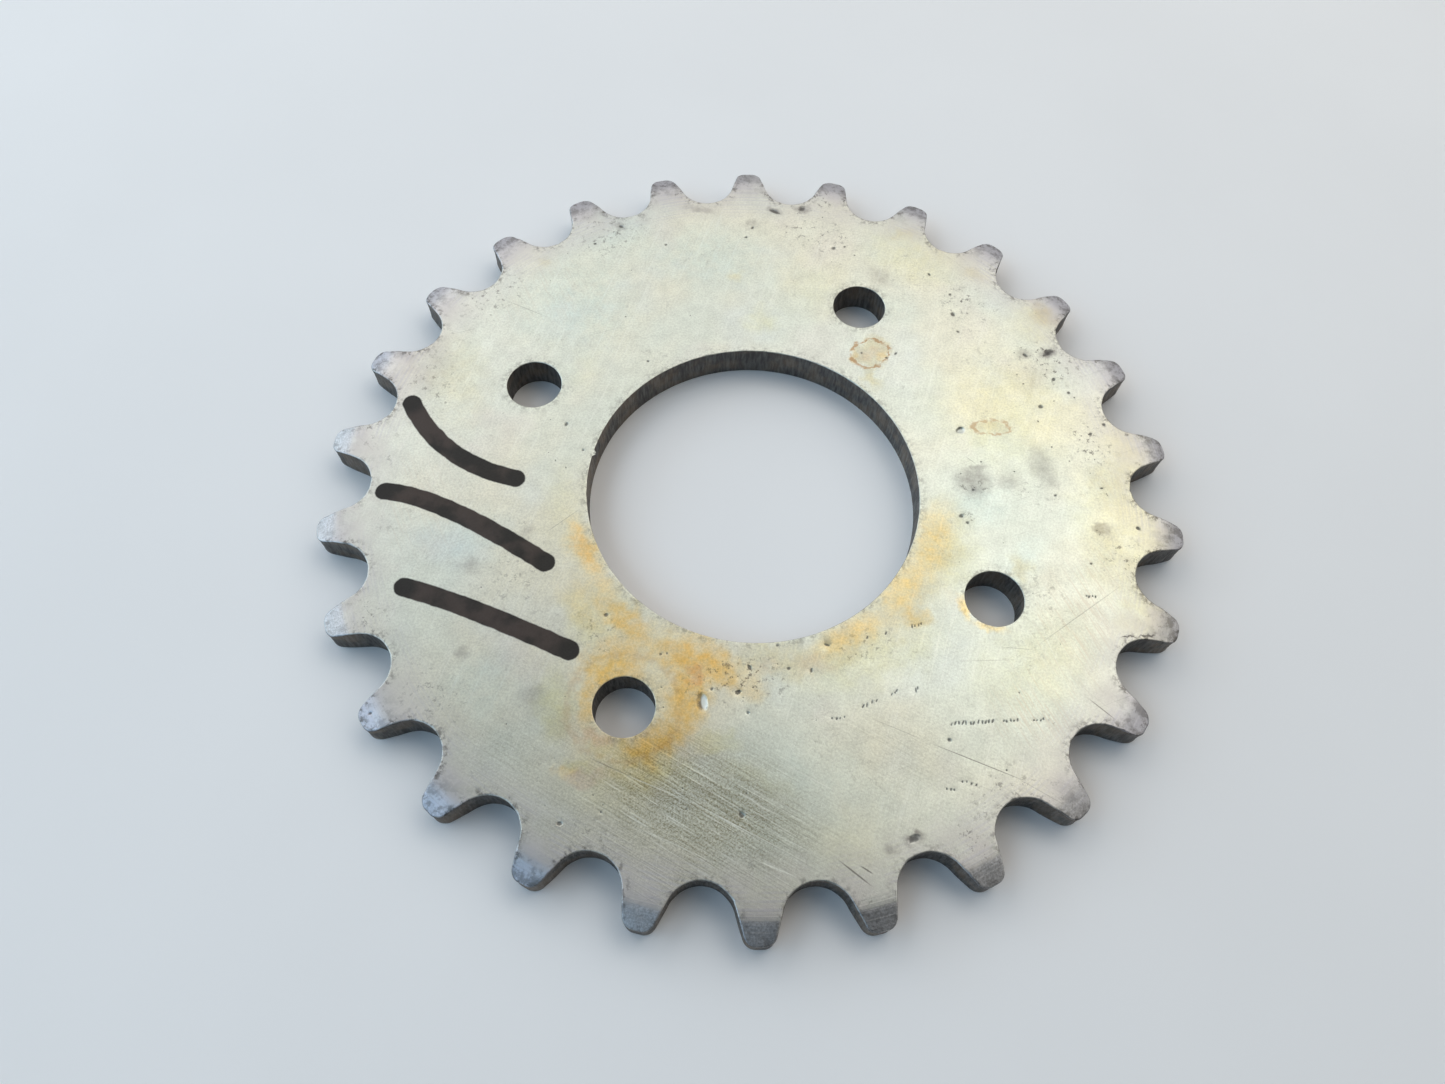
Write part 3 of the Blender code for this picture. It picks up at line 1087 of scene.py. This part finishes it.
    def specks(self):
        """Dark specks: in patches, near the teeth and along the edges."""
        self.fine = self.noise(self.elsewhere(200), 1.1, 5, 0.78)["Fac"]
        patches = self.cloud(self.elsewhere(260), 0.14, 0.50, 0.68, 2, strength=0.5)
        strewn = self.product(patches, self.math("ADD", self.toothed, 0.45))
        speck_zone = self.most(strewn, self.blots(self.wavy, SPECK_BLOTS))
        specks = self.product(self.step(self.fine, 0.56, 0.61), speck_zone)
        crumbs = self.cloud(self.elsewhere(320), 1.2, 0.48, 0.62, 5, 0.75)
        on_edge = self.step(self.rim, 1.6, 0.1)
        coated_tooth = self.product(self.toothed, self.coated)
        near_edge = self.product(on_edge, crumbs, self.math("MULTIPLY_ADD", coated_tooth, 0.45, 0.45))
        dirt = self.cloud(self.elsewhere(440), 0.50, 0.46, 0.60, 5, 0.75, strength=0.75)
        grime = self.product(dirt, self.soft, self.coated)
        self.paint(self.most(specks, near_edge, grime), SPECK_DARK)

    def stains(self):
        """The stains and smudges of the front face."""
        blotchy = self.cloud(self.position, 0.8, 0.3, 0.7, 4, 0.6, strength=0.4)
        uneven = self.math("ADD", blotchy, 0.6)
        self.stained = 0.0
        for marks, tint, place in (
            (STRAW_BLOTS, TINT_STRAW, self.wavy),
            (GREEN_BLOTS, TINT_GREEN, self.wavy),
            (YELLOW_BLOTS, TINT_YELLOW, self.wavy),
            (TAN_BLOTS, TINT_TAN, self.wavy),
            (ORANGE_BLOTS, TINT_ORANGE, self.wavy),
            (RIM_BLOTS, TINT_PEACH, self.crinkled),
            (PINK_BLOTS, TINT_PINK, self.wavy),
            (SMUDGE_BLOTS, TINT_SMUDGE, self.crinkled),
        ):
            mask = self.product(self.blots(place, marks), self.front)
            if marks in (TAN_BLOTS, ORANGE_BLOTS):
                self.stained = self.most(mask, self.stained)
            self.paint(self.product(mask, uneven), tint, "MULTIPLY")
        outline = self.product(self.rings(self.crinkled, STAIN_RINGS), self.front)
        broken = self.cloud(self.position, 0.9, 0.36, 0.56, 3)
        self.paint(self.product(outline, broken), STAIN_BROWN)

    def long_scratches(self):
        """Single scratches and a crack on the front face."""
        dark_lines = self.product(self.scratches(self.flat, DARK_SCRATCHES), self.front)
        cracks = self.product(self.scratches(self.crinkled, CRACKS), self.front)
        self.paint(self.most(dark_lines, cracks), SPECK_DARK)
        light_lines = self.product(self.scratches(self.flat, LIGHT_SCRATCHES), self.front)
        self.paint(light_lines, ZINC_BRIGHT_AND_HIGHLIGHT)

    def walls(self):
        """Dark, rough walls with brown patches and rubbed places, and worn edges with a painted
        glint.
        """
        self.wall_mask = self.step(self.wall, 0.45, 0.9)
        along_axis = self.placed(self.position, (0, 0, 0), 0, (0.35, 0.35, 2.4))
        self.torn = self.cloud(along_axis, 1, 0.35, 0.7, 4, 0.65)
        brown = self.cloud(self.position, 0.35, 0.4, 0.65, 3)
        wall_colour = self.mix(brown, WALL_DARK, WALL_BROWN)
        wall_colour = self.mix(self.product(self.torn, 0.45), wall_colour, WALL_SCUFF)
        self.paint(self.wall_mask, wall_colour)
        # A bright band on the rounded edges: partly worn metal, partly a painted glint
        edge_band = self.product(self.step(self.wall, 0.05, 0.35), self.step(self.wall, 0.75, 0.45))
        worn_edge_glint = self.cloud(self.elsewhere(380), 0.5, 0.48, 0.60, 3)
        self.paint(self.product(edge_band, worn_edge_glint, 0.4), ZINC_BRIGHT_AND_HIGHLIGHT)

    def dent_shade_and_burrs(self):
        """Painted shade in the dents, and bright burrs with a painted highlight on their raised lips.
        """
        # Painted shade: darker towards the middle of each dent, broken up by noise
        centred = self.math("SUBTRACT", self.fine, 0.5)
        uneven = self.math("MULTIPLY_ADD", centred, 2.2, self.hollow)
        dent_shade = self.step(uneven, 0.05, 0.75, 0.72)
        self.paint(self.product(dent_shade, self.step(self.hollow, 0.0, 0.1)), SPECK_DARK)
        # Painted highlight on the raised lips of two dents
        self.paint(self.product(self.blots(self.flat, BURR_HIGHLIGHTS), self.front), ZINC_BRIGHT_AND_HIGHLIGHT)

    def felt_pen(self):
        """Ink that is brown where it is thin and nearly black where it is thick."""
        wavering = self.noise(self.position, 0.7, 3)["Fac"]
        edge = self.math("MULTIPLY_ADD", wavering, 0.30, self.ink)
        half = PEN_WIDTH / 2 + 0.15
        self.pen = self.product(self.step(edge, half + 0.08, half - 0.10), self.front)
        at_end = self.step(self.ink_end, 2.4, 0.8)
        thick = self.most(at_end, self.cloud(self.position, 0.22, 0.42, 0.62, 3))
        ink_colour = self.mix(thick, INK_BROWN, INK_BLACK)
        self.paint(self.product(self.pen, 0.96), ink_colour)

    def gloss(self):
        """Stains and ink are less metallic, walls and the dull zone rougher."""
        unmetallic = self.most(
            self.product(self.pen, 0.8),
            self.product(self.stained, 0.15),
            self.product(self.wall_mask, 0.25),
        )
        metallic = self.math("SUBTRACT", 0.97, unmetallic)
        self.feed(self.shader.inputs["Metallic"], metallic)
        rougher = self.most(
            self.product(self.dull_zone, 0.10),
            self.product(self.stained, 0.12),
            self.product(self.wall_mask, 0.24),
            self.product(self.hollow, 0.3),
        )
        specular = self.math("MULTIPLY_ADD", self.pen, -0.35, 0.5)
        self.feed(self.shader.inputs["Specular IOR Level"], specular)
        roughness = self.math("MULTIPLY_ADD", self.patchy, 0.04, 0.39)
        self.feed(self.shader.inputs["Roughness"], self.math("ADD", roughness, rougher))

    def relief(self):
        """Grinding lines, grain, turning marks on the tips and torn walls, in millimetres."""
        line_depth = self.math("MULTIPLY_ADD", self.dull_zone, 0.006, 0.001)
        belt_lines = self.product(self.ground, line_depth)
        cross_lines = self.streaks(self.position, 72, 8, 0.16, 0.3, 0.8, 0.004)
        grain = self.product(self.noise(self.position, 2.4, 4, 0.65)["Fac"], 0.012)
        swell = self.product(self.noise(self.position, 0.16, 2)["Fac"], 0.02)
        turning = self.product(self.turned_lines, self.soft, 0.030)
        tearing = self.product(self.torn, self.wall_mask, 0.05)
        lines = self.math("ADD", belt_lines, cross_lines)
        height = self.product(lines, self.math("MULTIPLY_ADD", self.pen, -0.6, 1.0))
        for part in (grain, swell, turning, tearing):
            height = self.math("ADD", height, part)
        bump = self.node("Bump", {"Distance": MM, "Height": height})
        self.feed(self.shader.inputs["Normal"], bump.outputs["Normal"])


def plate_material():
    material = bpy.data.materials.new("zinc_plated_steel_worn")
    PlateSurface(material).paint_all()
    return material


def floor_material():
    material = bpy.data.materials.new("pale_floor")
    graph = Graph(material)
    position = graph.placed(graph.node("TexCoord").outputs["Object"], (0, 0, 0), 0, (MM, MM, MM))
    colour = graph.mix(graph.cloud(position, 0.02, 0.3, 0.7, 3), FLOOR_SHADE, FLOOR_PALE)
    graph.feed(graph.shader.inputs["Base Color"], colour)
    graph.shader.inputs["Roughness"].default_value = 0.85
    return material


# ---------------- the scene
def add_plate():
    plate = bpy.data.objects.new("worn_sprocket_plate", plate_mesh())
    bpy.context.scene.collection.objects.link(plate)
    plate.data.materials.append(plate_material())
    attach(plate, "root")
    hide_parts(NODE)


def add_floor():
    bpy.ops.mesh.primitive_plane_add(size=FLOOR_SIZE, location=(0, 0, -FLOOR_GAP))
    floor = bpy.context.object
    floor.name = "studio_floor"
    floor.data.materials.append(floor_material())


def facing(azimuth, elevation, distance):
    """A place round the plate as the camera sees it, and the turn that faces the plate from it."""
    around = azimuth - TURN
    level = cos(elevation)
    place = Vector((cos(around) * level, sin(around) * level, sin(elevation))) * distance
    return place, place.to_track_quat("Z", "Y").to_euler()


def add_softbox(name, azimuth, elevation, width, height, radiance, colour):
    lamp = bpy.data.lights.new(name, "AREA")
    lamp.shape = "RECTANGLE"
    lamp.size = width
    lamp.size_y = height
    lamp.energy = radiance * pi * width * height
    lamp.color = colour
    softbox = bpy.data.objects.new(name, lamp)
    place, turn = facing(radians(azimuth), radians(elevation), SOFTBOX_DISTANCE)
    softbox.location = place
    softbox.rotation_euler = turn
    bpy.context.scene.collection.objects.link(softbox)


def add_world():
    world = bpy.data.worlds.new("studio")
    world.use_nodes = True
    background = world.node_tree.nodes["Background"]
    background.inputs["Color"].default_value = WORLD_COLOUR
    background.inputs["Strength"].default_value = WORLD_STRENGTH
    bpy.context.scene.world = world


def add_camera():
    """Above and before the plate, tilted down to it and rolled a little."""
    lens = bpy.data.cameras.new("camera")
    lens.sensor_width = 36
    lens.lens = CAMERA_LENS
    lens.clip_start = 0.01
    lens.clip_end = 20
    camera = bpy.data.objects.new("camera", lens)
    place = (Vector(CAMERA_PLACE) + Vector((0, 0, THICKNESS))) * MM
    tilt = Matrix.Rotation(CAMERA_TILT, 4, "X") @ Matrix.Rotation(CAMERA_ROLL, 4, "Z")
    camera.matrix_world = Matrix.Rotation(-TURN, 4, "Z") @ Matrix.Translation(place) @ tilt
    bpy.context.scene.collection.objects.link(camera)
    bpy.context.scene.camera = camera


add_plate()
add_floor()
add_world()
for softbox_settings in SOFTBOXES:
    add_softbox(*softbox_settings)
add_camera()
bpy.context.scene.view_settings.view_transform = "Standard"
